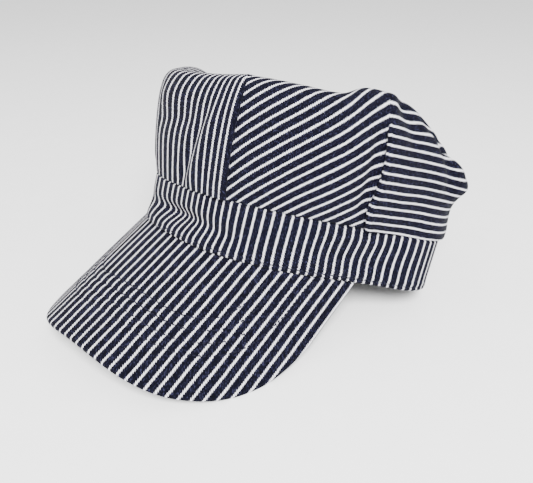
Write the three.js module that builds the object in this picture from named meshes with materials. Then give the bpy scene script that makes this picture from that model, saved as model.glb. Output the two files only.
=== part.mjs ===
// Railroad engineer cap of striped cotton: a pleated crown, a stitched band and a curved bill.
// Units are millimetres. The cap is shaped in its own frame first: +Z up from the band's lower
// edge, the bill towards -Y, the wearer's left at +X. It is then leaned back until it rests on
// its bill and on the back of its band, and set on the surface at Z = 0.
import * as THREE from 'three';

// Band, in millimetres
const bandHalfWidth = 112;
const bandFrontReach = 82.3;
const bandRearReach = 62;
const bandHeight = 33.3;
const bandWall = 2.4;

// Crown, in millimetres, with the power by which a pleat's lift fades away from its fold
const crownRise = 76;
const crownBulge = 14;
const crownWall = 2;
const crownInset = 0.8;
const pleatStep = 5;
const pleatSpread = 34;
const pleatFade = 1.5;
const topSag = 16;

// How the squashed cap is uneven, in millimetres: the plan swells at the front right, the upper
// seam sinks and the hem rises there, and a fold of the crown stands out at the rear left
const frontSwell = 4;
const seamDip = 3.1;
const hemRise = 1.3;
const rearFold = 8;

// The crown's middle before it sags, as a share of its rise, and how far in the sag is complete
const middleShare = 0.86;
const sagReach = 0.7;

// Bill, in millimetres and degrees
const billLength = 80.5;
const billSeamHalf = 112;
const billThickness = 3.2;
const billSlopeDeg = 44;

// How much longer the bill is off its centre, as a share of its length, and where that is reached
const billFlare = 0.085;
const billShoulder = 0.6;

// Roundness of the bill's corners, and how near the seam's ends its straight sides stand
const cornerPower = 8;
const cornerRoot = 0.245;
const billSideShare = 0.992;

// Fits: the gap between sewn pieces, and how much the cloth is pressed flat where it rests
const seamGap = 0.3;
const restPress = 1.2;

// Steps of the surfaces
const roundSteps = 68;
const bandRows = 8;
const billRows = 8;
const billColumns = 30;

// The band's plan from the front centre round the left side to the back centre. across is a
// share of bandHalfWidth, along of bandFrontReach in front of the ears and of bandRearReach behind.
const bandPlan = [
  { across: 0.000, along: -1.000 },
  { across: 0.218, along: -0.949 },
  { across: 0.420, along: -0.806 },
  { across: 0.585, along: -0.602 },
  { across: 0.720, along: -0.357 },
  { across: 0.855, along: -0.112 },
  { across: 0.978, along: 0.137 },
  { across: 1.000, along: 0.390 },
  { across: 0.893, along: 0.710 },
  { across: 0.554, along: 0.935 },
];

// Where each unevenness is and how far it reaches, as places round the cap
const swellPlace = { at: -0.12, wide: 0.07 };
const seamDipPlace = { at: -0.08, wide: 0.17 };
const hemRisePlace = { at: -0.10, wide: 0.15 };
const rearFoldPlace = { at: 0.57, wide: 0.085 };

// How the crown stands round the cap. at runs from 0 at the front over 1 at the wearer's left
// side of the back to -1 on the right. rise is a share of crownRise, bulge and lean of crownBulge,
// and sway is how far the cloth drifts round the cap from the seam to the rim.
const crownStations = [
  { at: 0.00, rise: 0.86, bulge: 0.30, lean: 0.10, sway: 0.000 },
  { at: 0.085, rise: 0.91, bulge: 0.30, lean: 0.00, sway: -0.010 },
  { at: 0.18, rise: 0.93, bulge: 0.40, lean: 0.15, sway: -0.005 },
  { at: 0.27, rise: 0.94, bulge: 0.45, lean: 0.30, sway: -0.015 },
  { at: 0.35, rise: 1.03, bulge: 0.45, lean: 0.30, sway: -0.040 },
  { at: 0.43, rise: 0.99, bulge: 0.40, lean: 0.05, sway: -0.025 },
  { at: 0.52, rise: 0.78, bulge: -0.05, lean: -0.25, sway: -0.010 },
  { at: 0.62, rise: 0.62, bulge: -0.05, lean: -0.20, sway: 0.000 },
  { at: 0.80, rise: 0.60, bulge: 0.80, lean: 0.20, sway: 0.000 },
  { at: 1.00, rise: 0.62, bulge: 0.80, lean: 0.35, sway: 0.000 },
  { at: -0.80, rise: 0.60, bulge: 0.80, lean: 0.20, sway: 0.000 },
  { at: -0.62, rise: 0.64, bulge: 0.70, lean: 0.10, sway: 0.000 },
  { at: -0.48, rise: 0.82, bulge: 0.50, lean: 0.15, sway: 0.000 },
  { at: -0.36, rise: 0.91, bulge: 0.30, lean: 0.20, sway: 0.000 },
  { at: -0.22, rise: 0.87, bulge: 0.15, lean: 0.55, sway: 0.000 },
  { at: -0.09, rise: 0.86, bulge: 0.25, lean: 0.35, sway: 0.000 },
];

// Pleats of the crown. at is the place round the cap, over says which side's fold lies on top:
// +1 the side further round to the left, -1 the side nearer the front.
const pleats = [
  { at: 0.085, over: -1 },
  { at: 0.375, over: 1 },
  { at: 0.600, over: -1 },
  { at: 0.850, over: 1 },
  { at: -0.240, over: 1 },
  { at: -0.480, over: -1 },
  { at: -0.740, over: 1 },
];

// The crown's meridian. rise is a share of the station's height, bulge of its bulge, lean of its
// lean, inward the share of the way from the rim to the middle, turn the tilt of the cloth in
// degrees from upright. pleat and fold tell how far the pleats and the rear fold stand out there.
const crownRows = [
  { rise: 0.00, bulge: 0.00, lean: 0.00, inward: 0.00, turn: 0, pleat: 0.80, fold: 0.00 },
  { rise: 0.10, bulge: 0.32, lean: 0.10, inward: 0.00, turn: 0, pleat: 1.00, fold: 0.00 },
  { rise: 0.25, bulge: 0.70, lean: 0.25, inward: 0.00, turn: 0, pleat: 1.00, fold: 0.00 },
  { rise: 0.42, bulge: 0.97, lean: 0.42, inward: 0.00, turn: 0, pleat: 1.00, fold: 0.11 },
  { rise: 0.60, bulge: 1.00, lean: 0.60, inward: 0.00, turn: 0, pleat: 0.95, fold: 0.84 },
  { rise: 0.76, bulge: 0.78, lean: 0.76, inward: 0.00, turn: 10, pleat: 0.80, fold: 0.67 },
  { rise: 0.89, bulge: 0.40, lean: 0.90, inward: 0.01, turn: 30, pleat: 0.55, fold: 0.06 },
  { rise: 0.97, bulge: 0.12, lean: 1.00, inward: 0.045, turn: 55, pleat: 0.35, fold: 0.00 },
  { rise: 1.00, bulge: 0.00, lean: 1.00, inward: 0.11, turn: 80, pleat: 0.20, fold: 0.00 },
  { rise: 1.00, bulge: 0.00, lean: 1.00, inward: 0.24, turn: 90, pleat: 0.00, fold: 0.00 },
  { rise: 1.00, bulge: 0.00, lean: 1.00, inward: 0.42, turn: 90, pleat: 0.00, fold: 0.00 },
  { rise: 1.00, bulge: 0.00, lean: 1.00, inward: 0.62, turn: 90, pleat: 0.00, fold: 0.00 },
  { rise: 1.00, bulge: 0.00, lean: 1.00, inward: 0.82, turn: 90, pleat: 0.00, fold: 0.00 },
];

// Soft buckles of the band. at is the place round the cap, high the share of the band's height,
// wide and tall their reach as shares of the half girth and the height, depth in shares of the wall.
const bandBuckles = [
  { at: -0.03, high: 0.43, wide: 0.085, tall: 0.17, depth: 1.9 },
  { at: 0.085, high: 0.34, wide: 0.05, tall: 0.15, depth: 1.0 },
  { at: 0.00, high: 0.00, wide: 0.15, tall: 0.25, depth: -1.1 },
  { at: 0.38, high: 0.62, wide: 0.07, tall: 0.25, depth: 0.9 },
];

// The share of the band's height below its upper seam over which the seam holds it smooth
const seamHold = 0.3;

// Smooth closed curve through the plan's points, both sides alike
function makePlan() {
  const left = bandPlan.map((p) => new THREE.Vector3(
    p.across * bandHalfWidth,
    p.along * (p.along < 0 ? bandFrontReach : bandRearReach),
    0,
  ));
  const right = left.slice(1).reverse().map((p) => new THREE.Vector3(-p.x, p.y, 0));
  const back = new THREE.Vector3(0, bandRearReach, 0);
  const curve = new THREE.CatmullRomCurve3([...left, back, ...right], true, 'centripetal');
  curve.arcLengthDivisions = 1200;
  return curve;
}

const plan = makePlan();
const halfGirth = plan.getLength() / 2;

// Shortest signed way round the cap from one place to another
function placeFrom(from, to) {
  return ((to - from + 3) % 2) - 1;
}

// How much of an unevenness is left at a place round the cap
function nearness(place, at) {
  return Math.exp(-((placeFrom(place.at, at) / place.wide) ** 2));
}

// Point and direction of the plan at a place round the cap, -1 to 1, moved out by offset
function planPoint(at, offset) {
  const share = ((at / 2) % 1 + 1) % 1;
  const tangent = plan.getTangentAt(share);
  const out = new THREE.Vector3(tangent.y, -tangent.x, 0);
  const swell = frontSwell * nearness(swellPlace, at);
  return { point: plan.getPointAt(share).addScaledVector(out, offset + swell), tangent };
}

// Height of the hem and of the upper seam at a place round the cap
function hemHeight(at) {
  return hemRise * nearness(hemRisePlace, at);
}

function seamHeight(at) {
  return bandHeight - seamDip * nearness(seamDipPlace, at);
}

// Value of one column of a table at a place round the cap, by a smooth closed spline
function stationValue(at, key) {
  const sorted = crownStations.map((s) => ({ u: (s.at + 2) % 2, v: s[key] })).sort((a, b) => a.u - b.u);
  const u = (at + 2) % 2;
  const count = sorted.length;
  let i = sorted.findIndex((s) => s.u > u) - 1;
  if (i < 0) i = count - 1;
  const item = (k) => {
    const turns = Math.floor(k / count);
    const s = sorted[k - turns * count];
    return { u: s.u + 2 * turns, v: s.v };
  };
  const [p0, p1, p2, p3] = [item(i - 1), item(i), item(i + 1), item(i + 2)];
  const span = p2.u - p1.u;
  const t = (u - p1.u) / span;
  const m1 = ((p2.v - p0.v) / (p2.u - p0.u)) * span;
  const m2 = ((p3.v - p1.v) / (p3.u - p1.u)) * span;
  const t2 = t * t;
  const t3 = t2 * t;
  return (2 * t3 - 3 * t2 + 1) * p1.v + (t3 - 2 * t2 + t) * m1
    + (3 * t2 - 2 * t3) * p2.v + (t3 - t2) * m2;
}

// How far the pleats lift the cloth at a place; side tells the two edges of a fold apart
function pleatLift(at, side) {
  let lift = 0;
  for (const pleat of pleats) {
    const away = placeFrom(pleat.at, at) * halfGirth * pleat.over;
    const onFold = Math.abs(away) < 1e-6 && side === pleat.over;
    if ((away > 1e-6 || onFold) && away < pleatSpread) {
      lift = Math.max(lift, pleatStep * (1 - away / pleatSpread) ** pleatFade);
    }
  }
  return lift;
}

// Closed solid from a grid of points: rows run along, columns round or across. Points that
// fall together, as where a fold has died out, are one point.
class Shell {
  constructor() {
    this.positions = [];
    this.indices = [];
    this.known = new Map();
  }

  add(point) {
    const key = point.toArray().map((value) => value.toFixed(3)).join(' ');
    if (!this.known.has(key)) {
      this.known.set(key, this.positions.length / 3);
      this.positions.push(point.x, point.y, point.z);
    }
    return this.known.get(key);
  }

  face(a, b, c) {
    if (a !== b && b !== c && c !== a) this.indices.push(a, b, c);
  }

  addRow(points) {
    return points.map((point) => this.add(point));
  }

  // Faces between two rows of points; round closes the row on itself
  strip(lower, upper, round) {
    const count = round ? lower.length : lower.length - 1;
    for (let i = 0; i < count; i += 1) {
      const j = (i + 1) % lower.length;
      this.face(lower[i], lower[j], upper[j]);
      this.face(lower[i], upper[j], upper[i]);
    }
  }

  // Fan from the last row to one middle point
  fan(row, middle) {
    for (let i = 0; i < row.length; i += 1) {
      this.face(row[i], row[(i + 1) % row.length], middle);
    }
  }

  geometry() {
    const geometry = new THREE.BufferGeometry();
    geometry.setAttribute('position', new THREE.Float32BufferAttribute(this.positions, 3));
    geometry.setIndex(this.indices);
    return geometry;
  }
}

// Places round the cap, with each pleat's fold as two columns at one place
function crownColumns() {
  const columns = [];
  for (let i = 0; i < roundSteps; i += 1) {
    const at = -1 + (2 * i) / roundSteps;
    const nearest = Math.min(...pleats.map((p) => Math.abs(placeFrom(p.at, at))));
    if (nearest > 0.4 / roundSteps) columns.push({ at, side: 0 });
  }
  for (const pleat of pleats) {
    columns.push({ at: pleat.at, side: -1 }, { at: pleat.at, side: 1 });
  }
  return columns.sort((a, b) => a.at - b.at || a.side - b.side);
}

// One point of the crown's cloth: a row of the meridian at a place round the cap, depth inside it
function crownPoint(column, row, depth) {
  const rise = stationValue(column.at, 'rise') * crownRise;
  const bulge = stationValue(column.at, 'bulge') * crownBulge;
  const lean = stationValue(column.at, 'lean') * crownBulge;
  const lift = depth > 0 ? 0 : pleatLift(column.at, column.side) * row.pleat;
  const fold = rearFold * nearness(rearFoldPlace, column.at) * row.fold;
  const turn = THREE.MathUtils.degToRad(row.turn);
  const shift = lift + fold - depth;
  const at = column.at + stationValue(column.at, 'sway') * row.lean;
  const { point } = planPoint(at, bulge * row.bulge + lean * row.lean - crownInset + shift * Math.cos(turn));
  const sag = topSag * Math.sin((Math.PI / 2) * Math.min(row.inward / sagReach, 1)) ** 2;
  const height = THREE.MathUtils.lerp(rise, middleShare * crownRise, row.inward) * row.rise;
  const seam = THREE.MathUtils.lerp(seamHeight(column.at), bandHeight, row.inward);
  const z = seam + seamGap + height - sag + shift * Math.sin(turn);
  return new THREE.Vector3(point.x * (1 - row.inward), point.y * (1 - row.inward), z);
}

function makeCrown() {
  const shell = new Shell();
  const columns = crownColumns();
  const outer = crownRows.map((row) => shell.addRow(columns.map((c) => crownPoint(c, row, 0))));
  const inner = crownRows.map((row) => shell.addRow(columns.map((c) => crownPoint(c, row, crownWall))));
  const last = { ...crownRows[crownRows.length - 1], inward: 1 };
  const outerMiddle = shell.add(crownPoint(columns[0], last, 0));
  const innerMiddle = shell.add(crownPoint(columns[0], last, crownWall));
  for (let i = 0; i + 1 < crownRows.length; i += 1) {
    shell.strip(outer[i], outer[i + 1], true);
    shell.strip(inner[i + 1], inner[i], true);
  }
  shell.fan(outer[outer.length - 1], outerMiddle);
  shell.fan([...inner[inner.length - 1]].reverse(), innerMiddle);
  shell.strip(inner[0], outer[0], true);
  return shell.geometry();
}

// How far the band's cloth is buckled inwards at a place and height
function buckle(at, high) {
  let depth = 0;
  for (const b of bandBuckles) {
    const round = placeFrom(b.at, at) / b.wide;
    const up = (high - b.high) / b.tall;
    depth += b.depth * bandWall * Math.exp(-round * round - up * up);
  }
  return depth;
}

function makeBand() {
  const shell = new Shell();
  const places = Array.from({ length: roundSteps }, (_, i) => -1 + (2 * i) / roundSteps);
  const rowPoints = (high, depth) => places.map((at) => {
    const held = Math.sin((Math.PI / 2) * Math.min((1 - high) / seamHold, 1));
    const { point } = planPoint(at, -depth - buckle(at, high) * held);
    return point.setZ(THREE.MathUtils.lerp(hemHeight(at), seamHeight(at), high));
  });
  const highs = Array.from({ length: bandRows + 1 }, (_, i) => i / bandRows);
  const outer = highs.map((high) => shell.addRow(rowPoints(high, 0)));
  const inner = highs.map((high) => shell.addRow(rowPoints(high, bandWall)));
  for (let i = 0; i < bandRows; i += 1) {
    shell.strip(outer[i], outer[i + 1], true);
    shell.strip(inner[i + 1], inner[i], true);
  }
  shell.strip(inner[0], outer[0], true);
  shell.strip(outer[bandRows], inner[bandRows], true);
  return shell.geometry();
}

// Length of the bill from its seam, at a share of the seam's half length from the centre
function billReach(share) {
  const flare = Math.sin((Math.PI / 2) * Math.min(Math.abs(share) / billShoulder, 1)) ** 2;
  const corner = (1 - Math.abs(share) ** cornerPower) ** cornerRoot;
  return billLength * (1 + billFlare * flare) * corner;
}

// The bill's upper surface: straight lines down and forward from the band's lower front edge
function billPoint(share, out, under) {
  const at = (share * billSeamHalf) / halfGirth;
  const slope = THREE.MathUtils.degToRad(billSlopeDeg);
  const forward = new THREE.Vector3(0, -Math.cos(slope), -Math.sin(slope));
  const root = planPoint(at, out < 0 ? -bandWall : 0);
  const normal = root.tangent.clone().cross(forward).normalize();
  if (normal.z < 0) normal.negate();
  const point = root.point.addScaledVector(forward, Math.max(out, 0) * billReach(share));
  point.z += hemHeight(at) - seamGap;
  return point.addScaledVector(normal, -under);
}

function makeBill() {
  const shell = new Shell();
  const shares = Array.from({ length: billColumns + 1 }, (_, i) => {
    const angle = -Math.PI / 2 + (Math.PI * i) / billColumns;
    return Math.sin(angle) * billSideShare;
  });
  const outs = [-1, ...Array.from({ length: billRows + 1 }, (_, i) => i / billRows)];
  const upper = outs.map((out) => shell.addRow(shares.map((share) => billPoint(share, out, 0))));
  const lower = outs.map((out) => shell.addRow(shares.map((share) => billPoint(share, out, billThickness))));
  for (let i = 0; i + 1 < outs.length; i += 1) {
    shell.strip(upper[i + 1], upper[i], false);
    shell.strip(lower[i], lower[i + 1], false);
  }
  const tip = outs.length - 1;
  shell.strip(lower[tip], upper[tip], false);
  shell.strip(upper[0], lower[0], false);
  const side = (k) => [upper.map((row) => row[k]), lower.map((row) => row[k])];
  const [firstUpper, firstLower] = side(0);
  const [lastUpper, lastLower] = side(billColumns);
  shell.strip(firstLower, firstUpper, false);
  shell.strip(lastUpper, lastLower, false);
  return shell.geometry();
}

// Lean back by angle: the height that a point of the cap then has
function leanedHeight(y, z, angle) {
  return z * Math.cos(angle) - y * Math.sin(angle);
}

function lowest(geometry, angle) {
  const position = geometry.getAttribute('position');
  let low = Infinity;
  for (let i = 0; i < position.count; i += 1) {
    low = Math.min(low, leanedHeight(position.getY(i), position.getZ(i), angle));
  }
  return low;
}

// The angle at which the bill and the back of the band touch the surface together
function restLean(bill, band) {
  let low = 0;
  let high = Math.PI / 4;
  for (let i = 0; i < 40; i += 1) {
    const middle = (low + high) / 2;
    if (lowest(bill, middle) < lowest(band, middle)) low = middle;
    else high = middle;
  }
  return (low + high) / 2;
}

// Lean a piece back, set it down and flatten what the surface presses
function setDown(geometry, angle, drop) {
  const position = geometry.getAttribute('position');
  for (let i = 0; i < position.count; i += 1) {
    const y = position.getY(i);
    const z = position.getZ(i);
    const height = leanedHeight(y, z, angle) - drop;
    position.setXYZ(i, position.getX(i), y * Math.cos(angle) + z * Math.sin(angle), Math.max(height, 0));
  }
  position.needsUpdate = true;
  return geometry;
}

// Cloth colour, navy with the white stripes mixed in
const cloth = () => new THREE.MeshStandardMaterial({ color: 0x4a4b63, roughness: 0.95, metalness: 0 });

function makeCap() {
  const pieces = { crown: makeCrown(), band: makeBand(), bill: makeBill() };
  const lean = restLean(pieces.bill, pieces.band);
  const drop = lowest(pieces.band, lean) + restPress;
  const box = new THREE.Box3();
  for (const geometry of Object.values(pieces)) {
    setDown(geometry, lean, drop);
    geometry.computeBoundingBox();
    box.union(geometry.boundingBox);
  }
  const middle = box.getCenter(new THREE.Vector3());
  const cap = new THREE.Group();
  for (const [name, geometry] of Object.entries(pieces)) {
    geometry.translate(-middle.x, -middle.y, 0);
    geometry.computeVertexNormals();
    const mesh = new THREE.Mesh(geometry, cloth());
    mesh.name = name;
    cap.add(mesh);
  }
  return cap;
}

const cap = makeCap();
export default cap;
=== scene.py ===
import math

import bpy
import numpy as np
from mathutils import Matrix, Vector


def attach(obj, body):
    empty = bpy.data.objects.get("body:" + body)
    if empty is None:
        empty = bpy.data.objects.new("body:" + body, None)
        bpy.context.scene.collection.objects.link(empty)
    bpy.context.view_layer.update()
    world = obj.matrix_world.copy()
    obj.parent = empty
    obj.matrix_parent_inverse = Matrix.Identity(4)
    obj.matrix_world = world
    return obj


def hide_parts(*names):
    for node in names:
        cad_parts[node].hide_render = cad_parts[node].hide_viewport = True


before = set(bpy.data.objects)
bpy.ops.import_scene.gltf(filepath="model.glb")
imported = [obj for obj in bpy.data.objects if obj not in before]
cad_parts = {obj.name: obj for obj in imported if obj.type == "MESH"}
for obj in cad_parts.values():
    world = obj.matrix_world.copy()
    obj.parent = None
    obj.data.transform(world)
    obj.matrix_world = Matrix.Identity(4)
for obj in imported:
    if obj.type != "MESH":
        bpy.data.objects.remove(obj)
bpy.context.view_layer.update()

MM = 0.001

# Band, in millimetres
BAND_HALF_WIDTH = 112.0
BAND_FRONT_REACH = 82.3
BAND_REAR_REACH = 62.0
BAND_HEIGHT = 33.3
BAND_WALL = 2.4
BAND_EDGE = 1.0
BAND_COLUMNS = 460
BAND_LEVELS = 34

# Hem of the band, in mm: how high the stitching runs, how deep and tall it presses the cloth in,
# and how far, how high above it and how tall the cloth swells
HEM_STITCH = 2.6
HEM_PRESS = 0.28
HEM_PRESS_TALL = 0.55
HEM_SWELL = 0.22
HEM_SWELL_ABOVE = 2.2
HEM_SWELL_TALL = 1.3

# Crown
CROWN_RISE = 76.0
CROWN_BULGE = 14.0
CROWN_INSET = 0.8
CROWN_WALL = 1.2
TOP_SAG = 16.0
MIDDLE_SHARE = 0.86
SAG_REACH = 0.7
CREASE_ENDS = 0.3

# Grid of the crown: columns round it, their least distance from a fold in mm, levels up to the row
# where the top starts, levels from there to the centre, short of which the last row stops, and the
# steps aside and up that its normals are taken over
CROWN_COLUMNS = 360
COLUMN_CLEAR = 0.3
SIDE_LEVELS = 62
TOP_LEVELS = 24
SIDE_ROWS = 8
ROW_END = 12.999
PLACE_STEP = 0.004
ROW_STEP = 0.05

# Bill
BILL_LENGTH = 80.5
BILL_SEAM_HALF = 112.0
BILL_THICKNESS = 3.2
BILL_SLOPE = math.radians(44)
BILL_FLARE = 0.085
BILL_SHOULDER = 0.6
CORNER_POWER = 8
CORNER_ROOT = 0.245
BILL_SIDE_SHARE = 0.992
BILL_EDGE = 2.0
BILL_COLUMNS = 241
BILL_ROWS = 96
BILL_CROWDING = 1.35

# Quilting of the bill, in mm: the first row's distance from the rim, the step to the next, how many
# rows, how far from the seam they end, their grooves, the soft rise between them and its fade, the
# share of this relief on the lower face, how near another part of the rim a row may come, and the
# share of the seam that it stays clear of the bill's sides
QUILT_FIRST = 22.0
QUILT_STEP = 6.6
QUILT_ROWS = 4
QUILT_END = 4.0
QUILT_GROOVE = 0.26
QUILT_GROOVE_WIDE = 1.0
QUILT_PUFF = 0.16
QUILT_FADE = 2.0
QUILT_BELOW = 0.6
QUILT_NEAR = 0.25
QUILT_CLEAR = 0.01

# Stitches, in mm: their step, length and thread, how they rise and dive into the cloth, and the
# step to either side that their direction is taken over
STITCH_STEP = 2.7
STITCH_LONG = 2.2
STITCH_RADIUS = 0.42
STITCH_TAPER = 0.9
STITCH_RISE = 0.16
STITCH_DIVE = 0.34
STITCH_SIDES = 6
STITCH_RINGS = 6
STITCH_AIM = 0.3

# Where the cap lies on the floor: its lean and the place of its own frame's origin
LEAN = math.radians(20.8757)
ORIGIN = np.array([2.588, 27.908, 20.893])

# How finely the plan, the stripes' way and the bill's seam and rim are looked up
PLAN_STEPS = 60
DRAWN_STEPS = 2001
SEAM_STEPS = 1201
RIM_STEPS = 400
RIM_END_STEPS = 40

# Cloth
STRIPE_PITCH = 5.33
SEAM_GAP = 0.3
SEAM_HOLD = 0.3

# The band's plan from the front centre round the left side to the back: (across, along)
BAND_PLAN = [
    (0.000, -1.000),
    (0.218, -0.949),
    (0.420, -0.806),
    (0.585, -0.602),
    (0.720, -0.357),
    (0.855, -0.112),
    (0.978, 0.137),
    (1.000, 0.390),
    (0.893, 0.710),
    (0.554, 0.935),
]

# Swells of the plan, where one side of the squashed cap stands out: (at, wide, out in mm)
PLAN_SWELLS = [
    (-0.12, 0.07, 4.0),
]

# How far the band's upper seam and hem sink where the band has buckled: (at, wide, down in mm)
SEAM_DIP = (-0.08, 0.17, 3.1)
HEM_DIP = (-0.10, 0.15, -1.3)

# How the crown stands round the cap: (at, rise, bulge, lean, sway)
CROWN_STATIONS = [
    (0.00, 0.90, 0.30, 0.10, 0.000),
    (0.085, 0.925, 0.30, 0.00, -0.010),
    (0.18, 0.93, 0.40, 0.15, -0.005),
    (0.27, 0.94, 0.45, 0.30, -0.015),
    (0.35, 1.03, 0.45, 0.30, -0.040),
    (0.43, 0.99, 0.40, 0.05, -0.025),
    (0.52, 0.78, -0.05, -0.25, -0.010),
    (0.62, 0.62, -0.05, -0.20, 0.000),
    (0.80, 0.60, 0.80, 0.20, 0.000),
    (1.00, 0.62, 0.80, 0.35, 0.000),
    (1.20, 0.60, 0.80, 0.20, 0.000),
    (1.38, 0.64, 0.70, 0.10, 0.000),
    (1.52, 0.82, 0.50, 0.15, 0.000),
    (1.64, 0.91, 0.30, 0.20, 0.000),
    (1.78, 0.87, 0.15, 0.55, 0.000),
    (1.91, 0.875, 0.25, 0.35, 0.000),
]

# Large soft folds of the crown: (at, row, wide, tall, out in mm), where row counts CROWN_ROWS
CROWN_FOLDS = [
    (0.575, 4.55, 0.075, 1.05, 7.0),
    (0.560, 5.55, 0.045, 0.45, 2.4),
    (0.540, 6.45, 0.080, 0.50, -3.4),
]

# The crown's meridian: (rise, bulge, lean, inward, pleat)
CROWN_ROWS = [
    (0.00, 0.00, 0.00, 0.00, 0.80),
    (0.10, 0.32, 0.10, 0.00, 1.00),
    (0.25, 0.70, 0.25, 0.00, 1.00),
    (0.42, 0.97, 0.42, 0.00, 1.00),
    (0.60, 1.00, 0.60, 0.00, 0.95),
    (0.76, 0.78, 0.76, 0.00, 0.80),
    (0.89, 0.40, 0.90, 0.01, 0.55),
    (0.97, 0.12, 1.00, 0.045, 0.35),
    (1.00, 0.00, 1.00, 0.11, 0.20),
    (1.00, 0.00, 1.00, 0.24, 0.00),
    (1.00, 0.00, 1.00, 0.42, 0.00),
    (1.00, 0.00, 1.00, 0.62, 0.00),
    (1.00, 0.00, 1.00, 0.82, 0.00),
    (1.00, 0.00, 1.00, 1.00, 0.00),
]

# Pleats: (at, over, lift in mm, row where the fold has died out, how far its foot bows in mm);
# over is +1 where the side further round to the left lies on top
PLEATS = [
    (0.079, -1, 3.4, 8.6, 0.0),
    (0.375, 1, 4.6, 5.9, -3.4),
    (0.600, -1, 4.2, 7.0, 0.0),
    (0.850, 1, 4.0, 7.4, 2.0),
    (1.260, 1, 4.0, 7.0, -2.0),
    (1.520, -1, 4.2, 7.6, 0.0),
    (1.760, 1, 4.0, 7.2, 2.0),
]

# How far behind its fold a pleat lifts the cloth, in mm, and how quickly that fades; the fold's
# section in mm, its steps and the one where the cloth changes to the next panel; the rows over which
# it dies out; the lift in mm from which it is folded, and over which it opens
PLEAT_SPREAD = 34.0
PLEAT_FADE = 1.5
FOLD_RADIUS = 0.85
FOLD_DEPTH = 5.0
FOLD_BACK = 0.7
FOLD_REACH = 2.0
FOLD_STEPS = 17
SWITCH_STEP = 10
FOLD_FADE = 1.6
FOLD_OPENS = 1.2
FOLD_OPENS_OVER = 1.6

# Where the foot of a pleat bows: its row and how tall in rows, and how wide in mm
BOW_ROW = 1.3
BOW_TALL = 1.1
BOW_WIDE = 24.0

# How the cloth lies in the panel that starts at each pleat: the turn of its stripes against the
# band's in degrees, their shift in mm (None: they meet the panel before where the pleat has died
# out), how close they stand and how much they bend across the panel, for each mm
PANELS = [
    (49.0, 0.0, 1.07, 0.0024),
    (92.0, None, 1.08, 0.0),
    (137.0, 0.0, 1.0, 0.0),
    (197.0, 0.0, 1.0, 0.0),
    (257.0, 0.0, 1.0, 0.0),
    (302.0, 0.0, 1.0, 0.0),
    (360.0, 1.4, 1.0, 0.0),
]

# How closely the stripes stand round the band and the crown's front panel: (at, stripes for one)
STRIPE_DRAW = [
    (-1.00, 1.00),
    (-0.30, 1.00),
    (-0.20, 0.85),
    (-0.13, 0.68),
    (-0.07, 1.10),
    (-0.02, 1.25),
    (0.05, 1.28),
    (0.11, 1.12),
    (0.18, 1.00),
    (1.00, 1.00),
]
FRONT_PANEL = 6

# How far beside a pleat the stripes run on, in mm, and how many rows below the pleat's end they
# start to; the turn of the top's stripes in degrees
RUN_ON_WIDE = 26.0
RUN_ON_BELOW = 0.7
TOP_TURN = 7.0

# Rows of the crown between which the stripes turn from the side's lie to the top's
SIDE_END = 6.4
TOP_START = 9.4

# Creases and soft ridges of the crown's cloth, as straight runs from one place to another:
# (at, row, at, row, wide in mm, out in mm)
CREASES = [
    (0.022, 5.3, -0.042, -0.4, 3.2, -1.9),
    (0.046, 5.3, -0.016, -0.4, 5.5, 1.8),
    (-0.150, 3.5, 0.010, 4.1, 6.0, -1.3),
    (-0.150, 4.9, 0.020, 5.5, 6.0, 1.0),
    (0.386, 7.6, 0.378, 4.6, 5.0, 1.8),
    (0.396, 7.2, 0.440, 3.9, 5.5, -3.0),
    (0.360, 5.2, 0.350, 0.6, 3.6, -2.4),
    (0.496, 7.0, 0.556, 3.0, 4.2, -4.2),
    (0.600, 5.4, 0.560, 3.2, 5.0, 1.4),
    (0.150, 1.2, 0.300, 4.4, 9.0, -1.0),
    (0.700, 1.0, 0.760, 5.5, 6.0, -1.8),
    (0.930, 0.6, 0.980, 5.8, 7.0, -1.8),
    (1.080, 1.2, 1.040, 6.2, 6.0, 1.6),
    (1.180, 0.8, 1.150, 5.4, 6.0, -1.8),
    (1.330, 1.0, 1.400, 5.8, 6.0, -2.0),
    (1.600, 1.0, 1.640, 6.0, 6.0, -1.8),
    (0.100, 9.4, 0.700, 9.2, 7.0, -1.8),
    (0.250, 10.4, 0.850, 9.0, 6.0, 1.4),
    (1.050, 8.8, 1.300, 11.0, 7.0, -2.0),
    (1.450, 9.0, 1.750, 10.6, 7.0, 1.6),
    (1.850, 9.0, 1.600, 11.4, 6.0, -1.6),
]

# Soft buckles of the band: (at, high, wide, tall, depth), as shares of half girth, height and wall
BAND_BUCKLES = [
    (-0.03, 0.43, 0.085, 0.15, 2.4),
    (0.085, 0.34, 0.05, 0.15, 1.1),
    (0.00, 0.00, 0.15, 0.25, -1.3),
    (0.36, 0.84, 0.09, 0.16, -0.7),
    (0.36, 0.40, 0.09, 0.20, 0.9),
    (0.86, 0.50, 0.10, 0.25, 0.8),
    (1.30, 0.45, 0.08, 0.25, 0.9),
]


def closed_curve(points, steps):
    """Closed centripetal Catmull-Rom curve through points, as a dense polyline."""
    p = np.asarray(points, float)
    count = len(p)
    t = np.linspace(0, 1, steps, endpoint=False)[:, None]
    parts = []
    for i in range(count):
        p0, p1, p2, p3 = (p[(i + k - 1) % count] for k in range(4))
        d0, d1, d2 = (math.sqrt(np.linalg.norm(b - a)) for a, b in ((p0, p1), (p1, p2), (p2, p3)))
        m1 = ((p1 - p0) / d0 - (p2 - p0) / (d0 + d1) + (p2 - p1) / d1) * d1
        m2 = ((p2 - p1) / d1 - (p3 - p1) / (d1 + d2) + (p3 - p2) / d2) * d1
        parts.append(
            p1 + m1 * t + (3 * (p2 - p1) - 2 * m1 - m2) * t**2 + (2 * (p1 - p2) + m1 + m2) * t**3
        )
    return np.vstack(parts)


def smooth(x):
    x = np.clip(x, 0, 1)
    return x * x * (3 - 2 * x)


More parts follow.
